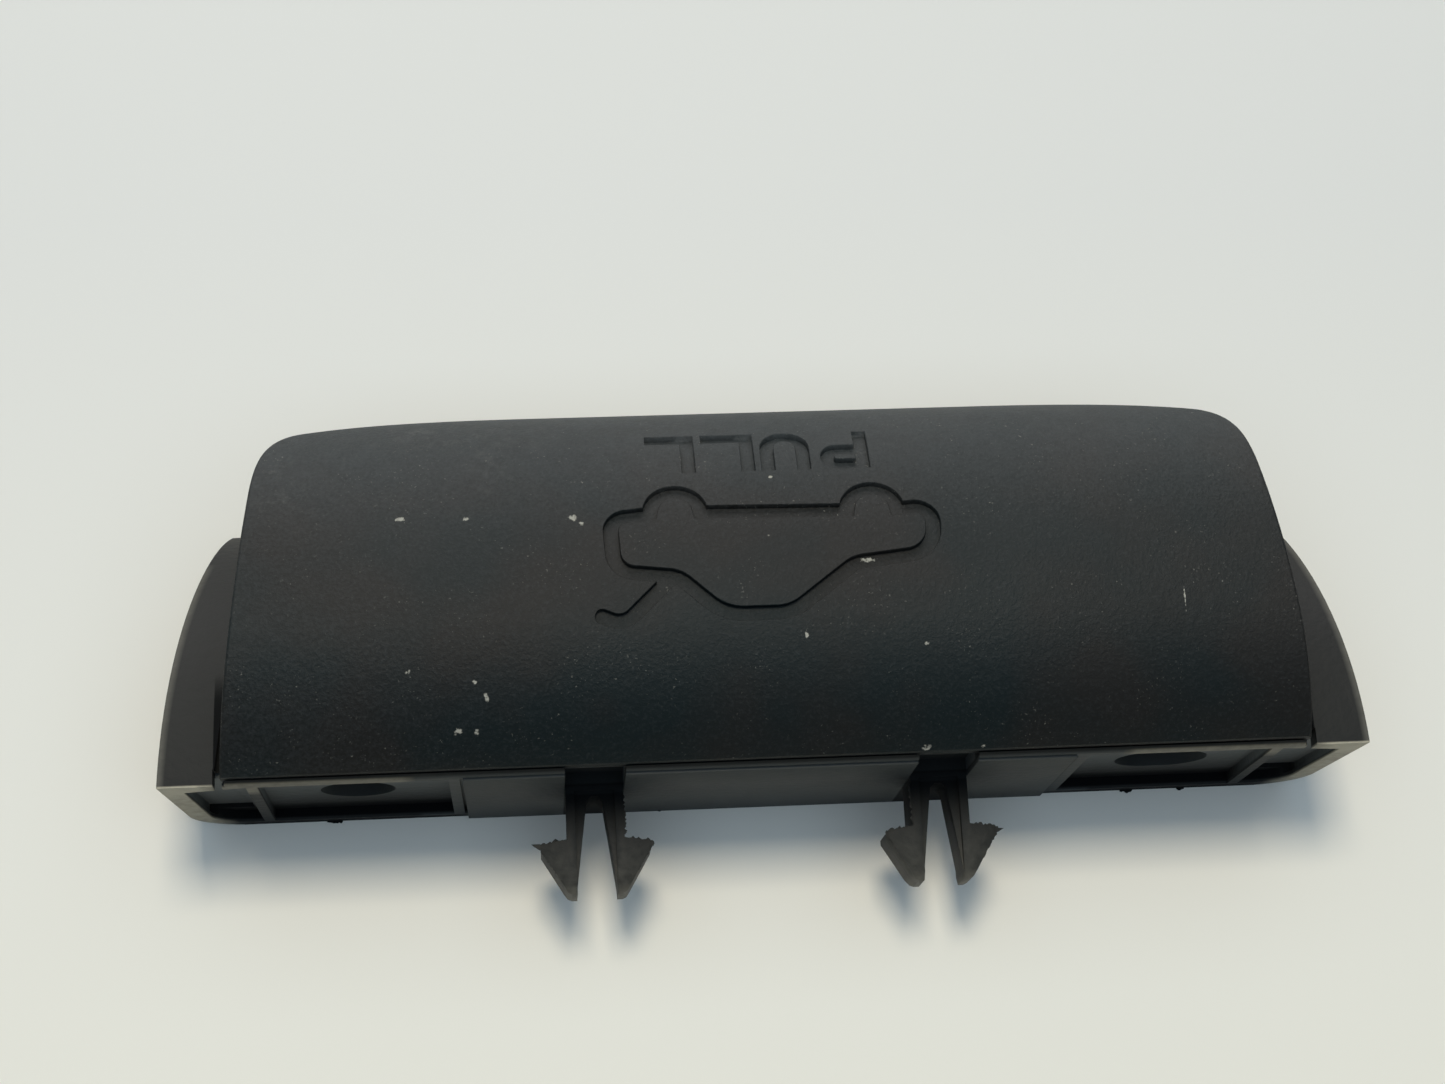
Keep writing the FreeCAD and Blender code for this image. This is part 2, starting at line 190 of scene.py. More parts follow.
def colour(red, green, blue):
    """A shader colour from the 0 to 255 values that a picture shows."""
    def linear(v):
        v = v / 255
        return v / 12.92 if v <= 0.04045 else ((v + 0.055) / 1.055) ** 2.4
    return (linear(red), linear(green), linear(blue), 1.0)


print("mid grey is", round(colour(128, 128, 128)[0], 3), "to a shader")

# %% [markdown]
# ## The grip's outer skin
# The skin runs over three tangent arcs: front, crown and skirt. A point on it has a place along
# the handle, x, and an arc length s from the crest, positive towards the free edge. One function
# turns these two and a depth under the skin into a point of the frame.

# %% Describe the skin
FRONT_RADIUS = 26.5
CROWN_RADIUS = 55.0
SKIRT_RADIUS = 22.0
CROWN_ANGLE = math.radians(28.0)
FRONT_CENTRE_Y = 20.262
CREST_Z = 26.101
SKIRT_CENTRE_Y = FRONT_CENTRE_Y + (CROWN_RADIUS - SKIRT_RADIUS) * math.sin(CROWN_ANGLE)
SKIRT_CENTRE_Z = CREST_Z - CROWN_RADIUS + (CROWN_RADIUS - SKIRT_RADIUS) * math.cos(CROWN_ANGLE)
SKIN_ARCS = [
    (FRONT_CENTRE_Y, CREST_Z - FRONT_RADIUS, FRONT_RADIUS),
    (FRONT_CENTRE_Y, CREST_Z - CROWN_RADIUS, CROWN_RADIUS),
    (SKIRT_CENTRE_Y, SKIRT_CENTRE_Z, SKIRT_RADIUS),
]


def skin_arc(s):
    """Centre, radius and angle of the skin at an arc length from the crest."""
    front, crown, skirt = SKIN_ARCS
    if s < 0:
        return *front, s / FRONT_RADIUS
    if s < CROWN_RADIUS * CROWN_ANGLE:
        return *crown, s / CROWN_RADIUS
    return *skirt, CROWN_ANGLE + (s - CROWN_RADIUS * CROWN_ANGLE) / SKIRT_RADIUS


def on_skin(x, s, drop=0.0):
    """A point at a depth under the skin, in metres."""
    y, z, radius, angle = skin_arc(s)
    reach = radius - drop
    return Vector((x, y + reach * math.sin(angle), z + reach * math.cos(angle))) * MM


print("crest at", [round(v / MM, 2) for v in on_skin(0, 0)])

# %% [markdown]
# ## Working on copies of the solids
# The measured solids stay untouched, so details go into merged copies of them, which then stand
# in for them. A solid's round faces come as flat strips. Their corners get the exact normals of
# the cylinder that they lie on, because a strip's own normals would show as bands in the light.

# %% Write helpers for the copies
DOUBLES = 1e-6
FIT = 0.03 * MM
LINED_UP = math.cos(math.radians(14))


def select_only(thing):
    bpy.ops.object.select_all(action="DESELECT")
    thing.select_set(True)
    bpy.context.view_layer.objects.active = thing


def copy_of(node_name, name):
    """A selected copy of a measured solid with its doubled points merged."""
    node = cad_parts[node_name]
    made = node.copy()
    made.data = node.data.copy()
    made.name = name
    scene.collection.objects.link(made)
    made.parent = None
    made.matrix_world = Matrix.Identity(4)
    select_only(made)
    bpy.ops.object.mode_set(mode="EDIT")
    bpy.ops.mesh.select_all(action="SELECT")
    bpy.ops.mesh.remove_doubles(threshold=DOUBLES)
    bpy.ops.object.mode_set(mode="OBJECT")
    return made


def modify(piece, kind, **settings):
    """Adds a modifier with its settings to a piece and applies it."""
    select_only(piece)
    modifier = piece.modifiers.new(kind.lower(), kind)
    for key, value in settings.items():
        setattr(modifier, key, value)
    bpy.ops.object.modifier_apply(modifier=modifier.name)


def cut(piece, tool):
    """Takes the cutter out of the piece, and the cutter out of the scene."""
    modify(piece, "BOOLEAN", operation="DIFFERENCE", solver="MANIFOLD", object=tool)
    bpy.data.objects.remove(tool)


def round_normals(piece, cylinders):
    """Gives the faces that lie on a cylinder its exact normals, so that they shade evenly.
    A cylinder is its axis, 0 for X to 2 for Z, two centre coordinates and a radius, in mm."""
    mesh = piece.data
    normals = [Vector(n.vector) for n in mesh.corner_normals]
    for face in mesh.polygons:
        points = [mesh.vertices[v].co for v in face.vertices]
        for axis, first, second, radius in cylinders:
            a, b = [i for i in range(3) if i != axis]
            centre = Vector((first, second)) * MM
            away = [Vector((p[a], p[b])) - centre for p in points]
            if max(abs(w.length - radius * MM) for w in away) > FIT:
                continue
            outward = []
            for w in away:
                normal = Vector((0, 0, 0))
                normal[a], normal[b] = w.normalized()
                outward.append(normal)
            lined_up = face.normal.dot(sum(outward, Vector()).normalized())
            if abs(lined_up) > LINED_UP:
                for loop, normal in zip(face.loop_indices, outward):
                    normals[loop] = normal if lined_up > 0 else -normal
                break
    mesh.normals_split_custom_set(normals)


print("a face may lie", round(FIT / MM, 3), "mm off its cylinder")

# %% [markdown]
# ## Strokes
# The word and the pictogram are sunk into the cover. Each stroke is a ribbon with a flat floor
# and a small chamfer at the top. It could be drawn as a curve with a bevel, but that would not
# follow the skin. So the ribbon is laid out flat in x and s, bent onto the skin and cut out.

# %% Draw lines and arcs in x and s
STROKE_STEP = 0.7
STROKE_CLEAR = 1.3


def arc(centre, radius, start, end, steps=14):
    """Points of a circle arc from one angle to another, in degrees."""
    angles = [math.radians(start + (end - start) * i / steps) for i in range(steps + 1)]
    return [(centre[0] + radius * math.cos(a), centre[1] + radius * math.sin(a)) for a in angles]


def rounded(before, corner, after, radius, steps=8):
    """The corner between two straight runs, rounded to a radius."""
    corner = Vector(corner)
    way_in = (Vector(before) - corner).normalized()
    way_out = (Vector(after) - corner).normalized()
    half = way_in.angle(way_out) / 2
    middle = corner + (way_in + way_out).normalized() * (radius / math.sin(half))
    first = corner + way_in * (radius / math.tan(half)) - middle
    last = corner + way_out * (radius / math.tan(half)) - middle
    turn = math.atan2(first.x * last.y - first.y * last.x, first.dot(last))
    start = math.degrees(math.atan2(first.y, first.x))
    return arc(middle, radius, start, start + math.degrees(turn), steps)


def path(corners):
    """A run of (x, s, radius) corners as plain points."""
    points = [corners[0][:2]]
    for before, (x, s, radius), after in zip(corners, corners[1:], corners[2:]):
        points += rounded(before[:2], (x, s), after[:2], radius) if radius else [(x, s)]
    return points + [corners[-1][:2]]


def spaced(points, closed):
    """The same run with points added along its straight stretches, clear of their ends."""
    result = []
    ends = points[1:] + points[:1] if closed else points[1:]
    for a, b in zip(points, ends):
        a, b = Vector(a), Vector(b)
        length = (b - a).length
        if length > 0.01:
            result.append(a)
        if length > 2 * STROKE_CLEAR:
            count = math.ceil((length - 2 * STROKE_CLEAR) / STROKE_STEP)
            first = STROKE_CLEAR / length
            shares = [first + (1 - 2 * first) * i / count for i in range(count + 1)]
            result += [a.lerp(b, share) for share in shares]
    return result if closed else result + [Vector(points[-1])]


print("a quarter circle has", len(arc((0, 0), 1, 0, 90)), "points")

# %% Turn a run of points into a cutter
STROKE_DEPTH = 1.0
SHALLOWER = STROKE_DEPTH - 0.03
STROKE_CHAMFER = 0.12
ABOVE = 0.8
MITRE_LIMIT = 0.5
BALL_ANGLES = (0, 20, 40, 60, 80)


def round_end(points, half):
    """Widths for a run whose last end is a half circle."""
    along = (points[-1] - points[-2]).normalized()
    tip = points[-1]
    kept = [p for p in points if (p - tip).length > half * 1.01]
    angles = [math.radians(a) for a in BALL_ANGLES]
    ends = [tip - along * half * (1 - math.sin(a)) for a in angles]
    return kept + ends, [half] * len(kept) + [half * math.cos(a) for a in angles]


def sideways(before, point, after):
    """The way across the run at a point, longer where the run turns."""
    ways = [w.normalized() for w in (point - before, after - point) if w.length > 1e-6]
    mean = sum(ways, Vector((0, 0))).normalized()
    return Vector((-mean.y, mean.x)) / max(MITRE_LIMIT, mean.dot(ways[0]))


def tube(count, ring, closed=False):
    """Faces of a tube of so many rings with so many points each, with caps where it ends."""
    faces = []
    for i in range(count if closed else count - 1):
        a, b = i * ring, (i + 1) % count * ring
        faces += [(a + k, a + (k + 1) % ring, b + (k + 1) % ring, b + k) for k in range(ring)]
    if not closed:
        faces += [tuple(reversed(range(ring))), tuple(range((count - 1) * ring, count * ring))]
    return faces


def stroke(points, width, depth=STROKE_DEPTH, closed=False, ball=False):
    """Vertices and faces of a cutter for one stroke."""
    points = spaced(points, closed)
    halves = [width / 2] * len(points)
    if ball:
        points, halves = round_end(points, width / 2)
    count = len(points)
    vertices = []
    for i, (point, half) in enumerate(zip(points, halves)):
        before = points[i - 1] if closed or i else point
        after = points[(i + 1) % count] if closed or i < count - 1 else point
        side = sideways(before, point, after)
        top = half + STROKE_CHAMFER + ABOVE
        profile = [(half, depth), (half, STROKE_CHAMFER), (top, -ABOVE)]
        profile += [(-offset, drop) for offset, drop in reversed(profile)]
        vertices += [on_skin(*(point + side * offset), drop) for offset, drop in profile]
    return vertices, tube(count, len(profile), closed)


def joined(name, shapes):
    """One selected object from closed shapes that don't touch each other."""
    vertices, faces = [], []
    for more, loops in shapes:
        start = len(vertices)
        vertices += more
        faces += [tuple(start + i for i in loop) for loop in loops]
    mesh = bpy.data.meshes.new(name)
    mesh.from_pydata(vertices, [], faces)
    made = bpy.data.objects.new(name, mesh)
    scene.collection.objects.link(made)
    select_only(made)
    bpy.ops.object.mode_set(mode="EDIT")
    bpy.ops.mesh.select_all(action="SELECT")
    bpy.ops.mesh.normals_make_consistent(inside=False)
    bpy.ops.object.mode_set(mode="OBJECT")
    print(name, len(mesh.polygons), "faces")
    return made


print("strokes are", STROKE_DEPTH, "mm deep")

# %% [markdown]
# ## Pictogram and word
# The pictogram is a car with its boot lid open, drawn as one closed line with the lid's arm as a
# second one. The word is drawn from straight stems and arcs. Both stand upside down as the handle
# lies here.

# %% Lay out the pictogram
LINE = 2.15
WHEEL = 3.65
FRONT_WHEEL = (15.75, 15.95)
REAR_WHEEL = (-12.8, 16.35)
BODY = [
    (-22.3, 15.7, 2.4), (-21.9, 7.2, 3.2), (-12.9, 6.1, 4.0), (-6.6, 0.2, 7.5), (3.2, 0.2, 6.5),
    (12.7, 7.4, 4.5), (24.2, 8.7, 4.4), (24.5, 16.5, 2.6),
]
LID = [(-13.6, 6.2, 0), (-20.9, -0.9, 3.0), (-24.9, 0.9, 0)]


def wheel_arch(wheel):
    """An arch with both feet, from the front to the rear of a wheel."""
    foot = Vector((WHEEL, 0))
    return [tuple(Vector(wheel) + foot), *arc(wheel, WHEEL, 20, 160), tuple(Vector(wheel) - foot)]


behind_rear_wheel = (REAR_WHEEL[0] - WHEEL, REAR_WHEEL[1], 0)
before_front_wheel = (FRONT_WHEEL[0] + WHEEL, FRONT_WHEEL[1], 0)
outline = wheel_arch(FRONT_WHEEL) + wheel_arch(REAR_WHEEL)
outline += path([behind_rear_wheel, *BODY, before_front_wheel])[1:-1]
lid = path(LID)
print("outline", len(outline), "points")

# %% Lay out the word
LETTER = 1.95
TOP, FOOT = 23.5, 31.6
MID = LETTER / 2
U_LEFT, U_RIGHT = 1.35, 6.6
P_STEM, P_BOWL, P_ARC = 15.3, 11.6, 1.45


def ell(x, reach):
    """An L whose stem is at x and whose foot reaches back along the handle."""
    return [(x, TOP), (x, FOOT - MID), (x - reach, FOOT - MID)]


u_arc = (U_RIGHT - U_LEFT) / 2
u_bend = arc(((U_LEFT + U_RIGHT) / 2, FOOT - MID - u_arc), u_arc, 180, 0)
letter_u = [(U_LEFT, TOP), *u_bend, (U_RIGHT, TOP)]
p_low, p_high = TOP + MID, TOP + MID + 2 * P_ARC
p_bend = arc((P_BOWL, TOP + MID + P_ARC), P_ARC, 90, 270)
bowl = [(P_STEM, p_high), *p_bend, (P_STEM, p_low)]
stem = [(P_STEM, TOP), (P_STEM, FOOT)]
letters = [ell(-1.6, 6.7), ell(-10.35, 6.2), letter_u, stem]
places = [x for points in letters for x, _ in points]
print("word", round(max(places) + MID - min(places), 1), "mm long")

# %% [markdown]
# ## Grip cover
# The cover is the smooth shell that the fingers reach round. Its word and pictogram are moulded
# in. A bump in the finish could fake them, but only real edges catch the light and go dark inside
# from every side, so they are cut. The lid's arm and the bowl of the P start inside other strokes.
# They are cut second and a hair shallower, because floors in one plane leave ragged patches.

# %% Sink the strokes into a copy of the cover
COVER_WALL = 1.8

cover = copy_of("grip_cover", "cover_skin")
first = [stroke(outline, LINE, closed=True)] + [stroke(points, LETTER) for points in letters]
cut(cover, joined("first_strokes", first))
second = [stroke(lid, LINE, SHALLOWER, ball=True), stroke(bowl, LETTER, SHALLOWER)]
cut(cover, joined("second_strokes", second))
bpy.ops.object.shade_smooth_by_angle(angle=math.radians(46))
drops = (0.0, STROKE_DEPTH, SHALLOWER, COVER_WALL)
round_normals(cover, [(0, y, z, radius - drop) for drop in drops for y, z, radius in SKIN_ARCS])
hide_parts("grip_cover")
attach(cover, "root")
print("cover", len(cover.data.polygons), "faces")

# %% [markdown]
# ## Carrier
# The carrier is the moulding that snaps into the lid and holds the cover. No moulded edge is
# perfectly sharp, so a small bevel breaks them all. It is limited by angle, which finds the sharp
# edges by itself and leaves the strips of the round faces alone. The slit beside each wing runs
# out through the rim as a dark notch, which is cut with a plain block.

# %% Notch a copy of the carrier and break its edges
NOTCH_X, NOTCH_Y, NOTCH_Z = 79.05, 1.2, 14.6
NOTCH_SIZE = (1.2 * MM, 3.4 * MM, 4.0 * MM)
BEVEL_WIDTH = 0.18 * MM
BEVEL_ANGLE = math.radians(50)

carrier = copy_of("carrier", "carrier_moulding")
for side in (-1, 1):
    place = (side * NOTCH_X * MM, NOTCH_Y * MM, NOTCH_Z * MM)
    bpy.ops.mesh.primitive_cube_add(size=1, location=place)
    notch = bpy.context.object
    notch.scale = NOTCH_SIZE
    bpy.ops.object.transform_apply(scale=True, location=True)
    cut(carrier, notch)
modify(
    carrier, "BEVEL", width=BEVEL_WIDTH, segments=2, limit_method="ANGLE",
    angle_limit=BEVEL_ANGLE,
)
bpy.ops.object.shade_smooth_by_angle(angle=math.radians(38))
print("carrier", len(carrier.data.polygons), "faces")

# %% Give its round faces their exact normals
WING_END = (87.5, 0.4), (85.0, 24.0), (80.1, 46.0)
WING_CENTRE = (0.4, -32.5)
WING_RADII = (48.5, 46.5, 45.3)
HOLE_RADIUS = 5.5
HOLE_CENTRES = (-60.2, 58.7, 61.7)
LINER_DROP = 4.0


def circle_through(points):
    """Centre and radius of the circle through three points."""
    (ax, ay), (bx, by), (cx, cy) = points
    cross = 2 * (ax * (by - cy) + bx * (cy - ay) + cx * (ay - by))
    a, b, c = [x * x + y * y for x, y in points]
    x = (a * (by - cy) + b * (cy - ay) + c * (ay - by)) / cross
    y = (a * (cx - bx) + b * (ax - cx) + c * (bx - ax)) / cross
    return x, y, math.hypot(ax - x, ay - y)


end_x, end_y, end_radius = circle_through(WING_END)
rounds = [(0, *WING_CENTRE, radius) for radius in WING_RADII]
rounds += [(2, side * end_x, end_y, end_radius) for side in (1, -1)]
rounds += [(1, x, 0, HOLE_RADIUS) for x in HOLE_CENTRES]
rounds += [(0, y, z, radius - LINER_DROP) for y, z, radius in SKIN_ARCS]
round_normals(carrier, rounds)
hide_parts("carrier")
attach(carrier, "root")
print("wing ends have a radius of", round(end_radius, 1), "mm")

# %% [markdown]
# ## Flash
# Flash is plastic that squeezes out where the halves of a mould meet. It stands thin and ragged
# along the clips' barbs and prongs, and a few burrs stand on the plate's lower edge. The carrier's
# own edges could be displaced, but strips of their own leave them as measured. Each strip's outer
# edge goes in and out at random, from a fixed seed so that it comes out the same each time.

# %% Grow the flash
FLASH_STEP = 0.28
FLASH_THICK = 0.16
FLASH_ROOT = 0.25
FLASH_DRIFT = 0.12
TIP_SHARE = 0.3
END_SHARE = 0.3
CLIP_X = 25.5
CLIP_HALF = 4.2
BARB_OUT = 8.1
SHOULDER_OUT = 4.9
SLOPE_OUT = 5.2
OUTER_REACH = 1.5
INNER_REACH = 0.9
BURR_Y, BURR_Z = 0.3, -15.7
BURRS = ((-66.0, 2.4), (-15.6, 1.2), (-5.0, 0.8), (57.0, 2.0), (66.0, 1.2))
ragged = random.Random(11)


def flash(start, end, way, low, high, z):
    """A thin ragged strip along a line at one height, standing out one way by low to high."""
    vertices = []
    start, end, way = Vector(start), Vector(end), Vector(way).normalized()
    count = max(3, round((end - start).length / FLASH_STEP))
    half = FLASH_THICK / 2
    tip = FLASH_THICK * TIP_SHARE
    for i in range(count + 1):
        reach = ragged.uniform(low, high) * (1.0 if 0 < i < count else END_SHARE)
        drift = ragged.uniform(-FLASH_DRIFT, FLASH_DRIFT)
        inner = start.lerp(end, i / count) - way * FLASH_ROOT
        outer = start.lerp(end, i / count) + way * reach
        vertices += [
            (*inner, z + half), (*outer, z + drift + tip),
            (*outer, z + drift - tip), (*inner, z - half),
        ]
    return [Vector(v) * MM for v in vertices], tube(count + 1, 4)


def clip_flash(centre):
    """Strips at the ends, shoulders and slopes of a clip's two barbs, and along one prong."""
    strips = []
    for side in (-1, 1):
        barb = centre + side * BARB_OUT
        shoulder = centre + side * SHOULDER_OUT
        slope = centre + side * SLOPE_OUT
        farthest = OUTER_REACH if side * centre > 0 else INNER_REACH
        strips.append(flash((barb, -7.8), (barb, -8.7), (side, 0.25), 0.3, farthest, 4.25))
        strips.append(flash((shoulder, -7.3), (barb, -7.9), (0, 1), 0.0, 0.45, 4.2))
        strips.append(flash((barb, -8.7), (slope, -13.2), (side, -0.4), 0.0, 0.22, 4.2))
    inward = 1 if centre < 0 else -1
    prong = centre + inward * CLIP_HALF
    strips.append(flash((prong, -1.0), (prong, -6.8), (inward, 0), 0.0, 0.4, 4.3))
    return strips


strips = clip_flash(-CLIP_X) + clip_flash(CLIP_X)
for x, length in BURRS:
    burr = flash((x, BURR_Y), (x + length, BURR_Y), (0, -1), 0.1, 0.5, BURR_Z)
    strips.append(burr)
flashing = joined("flash", strips)
bpy.ops.object.shade_smooth_by_angle(angle=math.radians(30))
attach(flashing, "root")
print("flash in", len(strips), "strips")

# %% [markdown]
# ## Black plastic
# Both mouldings are matt black. The cover has a fine grain, goes from a greener to a browner
# black in places, and carries a painted sheen and scuffs towards its free edge, fine dust and a
# few pale specks. Plain paint would look like rubber, so each of these is a layer of its own.

# %% Cover finish
GREENISH = colour(6, 19, 21)
BROWNISH = colour(21, 21, 20)
# A painted sheen: the paler grey that the skin shows towards its rear, where it faces the light.
SHEEN_GREY = colour(74, 78, 80)
SCUFF = colour(120, 120, 116)
SPECK = colour(168, 166, 156)
MARKS = [
    (-52.2, 16.6, 0.6, 0.3), (-27.65, 15.95, 0.7, 0.45), (-26.3, 14.9, 0.35, 0.3),
    (-42.9, 16.3, 0.5, 0.3), (-51.4, -6.5, 0.35, 0.3), (-42.2, -8.2, 0.35, 0.25),
    (-40.6, -10.4, 0.3, 0.5), (-44.7, -15.3, 0.55, 0.4), (-42.1, -15.5, 0.35, 0.3),
    (14.5, 7.9, 1.0, 0.3), (1.5, 22.3, 0.3, 0.2), (5.0, -3.0, 0.25, 0.6),
    (22.0, -5.0, 0.35, 0.2), (0.5, 12.0, 0.25, 0.2), (22.1, -20.6, 0.6, 0.3),
    (30.2, -20.8, 0.3, 0.2), (59.7, 0.5, 0.1, 1.6),
]


GRAIN = 1900.0
SPECK_RAGGED = 7.0


def speck(finish, mark, number):
    """1 inside a ragged speck, 0 outside it. A mark is x, s and two half sizes, in mm. Each
    speck has a noise of a slightly different scale, so that no two have the same outline."""
    x, s, across, along = mark
    middle = on_skin(x, s)
    wobble = finish.noise(GRAIN + number * 7.0, 3.0)
    px, py, _ = finish.axes()
    dx = (px - middle.x) / (across * MM)
    dy = (py - middle.y) / (along * MM)
    ragged_edge = (wobble - 0.5) * SPECK_RAGGED
    return 1.0 - (dx * dx + dy * dy + ragged_edge).between(-0.1, 1.1)


def cover_plastic():
    """Grained black plastic with a painted sheen, scuffs, dust and specks."""
    finish = Finish("cover_plastic")
    px, py, _ = finish.axes()
    cloud = finish.noise(38.0, 4.0, 0.6)
    fine = finish.noise(420.0, 3.0, 0.6)
    grain = finish.noise(GRAIN, 3.0, 0.7)
    rear = py.rise(32, 57)
    left = (px * -1.0).rise(20, 80)
    # Painted sheen: the skin is painted paler towards its rear and a little on the left, where it
    # faces the light, clouded by noise.
    painted_sheen = rear.power(1.5) * (0.35 + cloud * 0.9) + left * 0.12 * cloud
    painted_sheen = painted_sheen * (0.6 + fine * 0.8)
    patches = finish.noise(48.0, 3.0, 0.6).between(0.44, 0.6)
    rubbed = finish.noise(520.0, 5.0, 0.75).between(0.5, 0.74)
    scuffs = rubbed * patches * rear * (left * 0.6 + 0.1)
    dusty = finish.noise(120.0, 3.0).between(0.45, 0.65)
    dust = finish.noise(2300.0, 2.0, 0.6).between(0.66, 0.78) * (dusty * 0.4 + rear * 0.15)
    specks = sum(speck(finish, mark, i) for i, mark in enumerate(MARKS))
    base = finish.blend(finish.noise(45.0, 2.0).between(0.4, 0.62), GREENISH, BROWNISH)
    base = finish.blend(painted_sheen + (grain - 0.5) * 0.6, base, SHEEN_GREY)
    base = finish.blend(scuffs, base, SCUFF)
    base = finish.blend(dust + specks * 0.9, base, SPECK)
    finish.set(
        Base_Color=base,
        Roughness=0.58 + painted_sheen * 0.1 + (cloud - 0.5) * 0.16,
        Specular_IOR_Level=0.22,
        Normal=finish.bump(grain * 0.6 + fine * 0.4, 1.0, 0.2 * MM),
    )
    return finish.material


cover_material = cover_plastic()
print("cover finish", len(cover_material.node_tree.nodes), "nodes")

# %% [markdown]
# The carrier is smoother. Its rim gets a painted reflection of the table, pale at both ends, the
# wings' outer edges a painted highlight, the pockets' floors and the pad painted light, and the
# barbs a painted reflection of the table. Its slits, its pockets' sills, the clips' roots and the
# lower edge of its face are painted deep black as shade. Each of these is a mask from the place on
# the piece.

# %% Carrier finish
BLACK = colour(9, 12, 12)
SMOKE = colour(35, 36, 34)
# Painted light on the pockets' floors and the pad, which face the bright table.
FLOOR_LIGHT_GREY = colour(96, 102, 102)
# A painted highlight on the wings' outer edges.
EDGE_HIGHLIGHT_GREY = colour(104, 102, 94)
# A painted reflection of the white table on the barbs.
BARB_REFLECTION_GREY = colour(120, 116, 106)
# A painted reflection of the bright table on the rim.
RIM_REFLECTION_CREAM = colour(172, 166, 148)
# Painted shade in the slits, the pockets' sills, the clips' roots and the lower edge.
SHADE_BLACK = colour(2, 4, 6)


def rim_mask(out, py, pz):
    """The rim's painted reflection of the table, more at both ends than above the pockets."""
    above = pz.rise(8, 11) * out.rise(51, 53) * 0.4
    return py.fall(0.45, 0.75) * (above + out.rise(79, 83) * 0.8)


def pad_mask(out, py):
    """The face of the pad in the middle, which gets a little painted light."""
    return py.fall(0.45, 0.75) * py.rise(-0.6, -0.4) * out.fall(51, 52)


def pocket_mask(out, py, pz):
    """What lies behind the rim and inside the plate."""
    return py.rise(0.7, 1.0) * py.fall(6, 7) * pz.fall(12.6, 13.0) * out.fall(84.4, 84.8)


def wing_mask(out, py, pz):
    """The wings' outer edges, next to the circle that their ends lie on, for a painted highlight.
    """
    away_x = out - end_x * MM
    away_y = py - end_y * MM
    from_centre = (away_x * away_x + away_y * away_y).power(0.5)
    outer = from_centre.rise(end_radius - 1.1, end_radius - 0.3)
    return out.rise(79.4, 79.8) * pz.rise(-2, 0) * outer


def slit_mask(out, py, pz):
    """The slits between the cover and the wings, painted dark as shade."""
    return out.rise(77.9, 78.2) * out.fall(79.5, 79.6) * py.rise(0.7, 1.0) * pz.rise(13.0, 14.6)


def root_mask(out, py):
    """The clips' prongs where they leave the plate, painted dark as shade."""
    beside = (out - CLIP_X * MM).absolute()
    return beside.fall(4.2, 4.5) * py.rise(-7, -1.5) * py.fall(3.0, 3.3)


def lower_edge_mask(out, py, pz):
    """The mounting face's lower edge, from beside the clips to near its ends, in painted shade."""
    return py.fall(0.45, 0.75) * pz.fall(-14.8, -13.8) * out.fall(76, 80) * out.rise(44, 46)


def carrier_plastic():
    """Smooth black plastic, with painted light at its edges and painted shade in its hollows."""
    finish = Finish("carrier_plastic")
    px, py, pz = finish.axes()
    out = px.absolute()
    cloud = finish.noise(55.0, 5.0, 0.65)
    fine = finish.noise(700.0, 3.0, 0.6)
    pocket = pocket_mask(out, py, pz)
    # Painted shade on the pockets' sills, which face up under the plate's upper wall.
    sill = pocket * pz.fall(-12.8, -9.0)
    # Painted light on the pockets' floors and on the pad.
    lit_floors = pocket * pz.rise(-9, 10) * (1.0 - sill) * 0.77 + pad_mask(out, py) * 0.25
    # Painted highlight along the wings' outer edges.
    edge_highlight = wing_mask(out, py, pz) * (0.3 + fine * 0.5)
    # Painted reflection of the table on the barbs and their tips.
    barb_reflection = py.fall(-13, -7) * fine * 0.4 + py.fall(-15.2, -13.9) * 0.4
    # Painted reflection of the table on the rim.
    rim_reflection = rim_mask(out, py, pz) * (0.5 + fine * 0.9)
    # Painted shade in the slits, at the clips' roots and along the lower edge.
    painted_shade = sill + slit_mask(out, py, pz) + root_mask(out, py) * 0.85
    painted_shade = painted_shade + lower_edge_mask(out, py, pz) * 0.7
    base = finish.blend(cloud.between(0.3, 0.75) * 0.7, BLACK, SMOKE)
    for mask, tone in (
        (lit_floors, FLOOR_LIGHT_GREY), (edge_highlight, EDGE_HIGHLIGHT_GREY), (barb_reflection, BARB_REFLECTION_GREY), (rim_reflection, RIM_REFLECTION_CREAM), (painted_shade, SHADE_BLACK),
    ):
        base = finish.blend(mask, base, tone)
    finish.set(
        Base_Color=base,
        Roughness=0.62 + (cloud - 0.5) * 0.2 + painted_shade * 0.5,
        Specular_IOR_Level=0.24,
        Normal=finish.bump(fine, 0.8, 0.15 * MM),
    )
    return finish.material


carrier_material = carrier_plastic()
print("carrier finish", len(carrier_material.node_tree.nodes), "nodes")

# %% Dress the pieces
solid_cover, solid_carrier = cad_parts["grip_cover"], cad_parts["carrier"]
dressed = [(thing, cover_material) for thing in (cover, solid_cover)]
dressed += [(thing, carrier_material) for thing in (carrier, solid_carrier, flashing)]
for thing, material in dressed:
    thing.data.materials.clear()
    thing.data.materials.append(material)
print("dressed", [thing.name for thing, _ in dressed])

# %% [markdown]
# ## Table and light
# The handle stands on a pale table, painted a little lighter and warmer in front as a painted pool
# of light. A small warm lamp nearly overhead gives the short soft shadow, and a broad bluish one
# fills it. A long one behind is hidden from diffuse rays, so that it only shows as a sheen. The
# world is dim for light and white for the camera. One picture of a room could light all this too,
# but lamps can be tuned one by one.

# %% Lay the table
FLOOR_Z = -16.05
# The front is painted lighter and warmer than the back, a painted pool of light.
TABLE_FRONT = colour(242, 238, 225)
TABLE_BACK = colour(223, 223, 220)

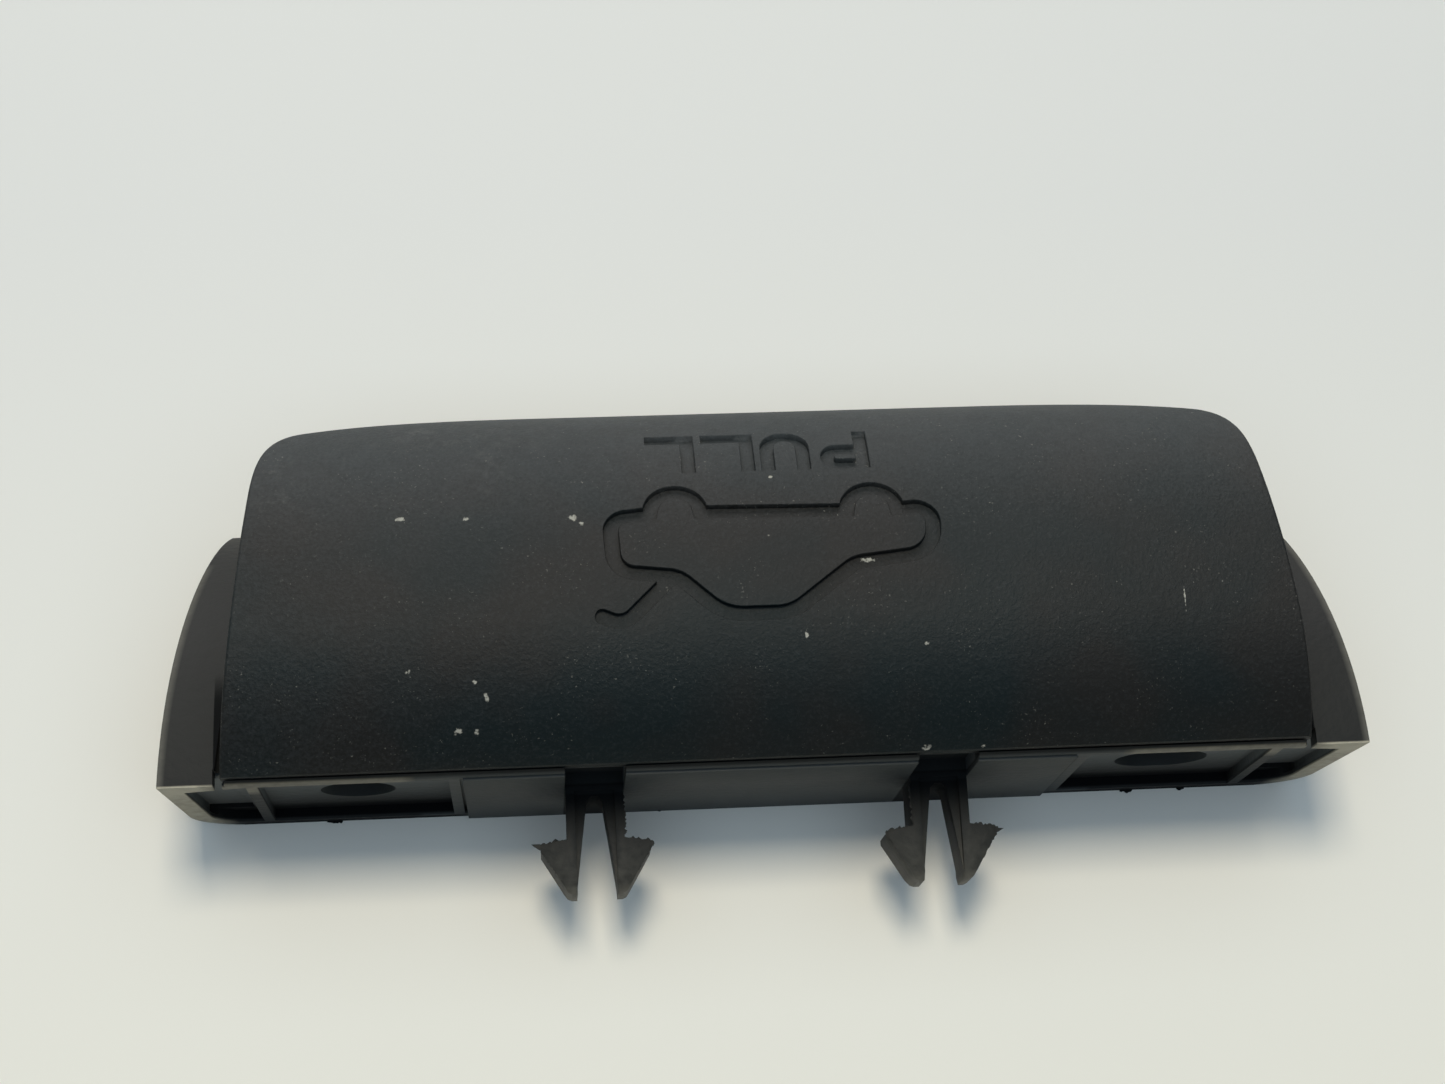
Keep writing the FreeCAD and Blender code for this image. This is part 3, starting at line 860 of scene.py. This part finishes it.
bpy.ops.object.select_all(action="DESELECT")
bpy.ops.mesh.primitive_plane_add(size=4.0, location=(0, 0, FLOOR_Z * MM))
table = bpy.context.object
table.name = "table"
paint = Finish("table_paint")
towards_back = paint.axes()[1].rise(-100, 100)
paint.set(Base_Color=paint.blend(towards_back, TABLE_FRONT, TABLE_BACK), Roughness=0.6)
table.data.materials.append(paint.material)
print("table at", FLOOR_Z, "mm")

# %% Make the world
world = bpy.data.worlds.new("room")
world.use_nodes = True
nodes, links = world.node_tree.nodes, world.node_tree.links
fill = nodes["Background"]
fill.inputs["Color"].default_value = (0.75, 0.85, 1.0, 1.0)
fill.inputs["Strength"].default_value = 0.12
white = nodes.new("ShaderNodeBackground")
white.inputs["Color"].default_value = (0.9, 0.9, 0.9, 1.0)
seen = nodes.new("ShaderNodeLightPath")
mix = nodes.new("ShaderNodeMixShader")
links.new(seen.outputs["Is Camera Ray"], mix.inputs[0])
links.new(fill.outputs[0], mix.inputs[1])
links.new(white.outputs[0], mix.inputs[2])
links.new(mix.outputs[0], nodes["World Output"].inputs["Surface"])
scene.world = world
print("world", len(nodes), "nodes")

# %% Hang the lamps
AIM = Vector((0, 0, 0))


def hang_lamp(name, place, size, watts, tint):
    """A rectangular lamp that shines at the middle of the handle."""
    data = bpy.data.lights.new(name, "AREA")
    data.shape = "RECTANGLE"
    data.size, data.size_y = size
    data.energy = watts
    data.color = tint
    lamp = bpy.data.objects.new(name, data)
    scene.collection.objects.link(lamp)
    lamp.location = place
    lamp.rotation_euler = (AIM - Vector(place)).to_track_quat("-Z", "Y").to_euler()
    return lamp


hang_lamp("window", (-0.06, 0.38, 1.36), (0.34, 0.34), 10.6, (1.0, 0.90, 0.72))
hang_lamp("sky", (0.0, 0.12, 1.5), (2.4, 2.4), 17.2, (0.68, 0.85, 1.0))
wall = hang_lamp("wall", (-0.2, 1.5, 0.6), (2.4, 0.8), 32.0, (1.0, 0.98, 0.95))
wall.visible_diffuse = False

# %% Finish
scene.view_settings.view_transform = "Standard"
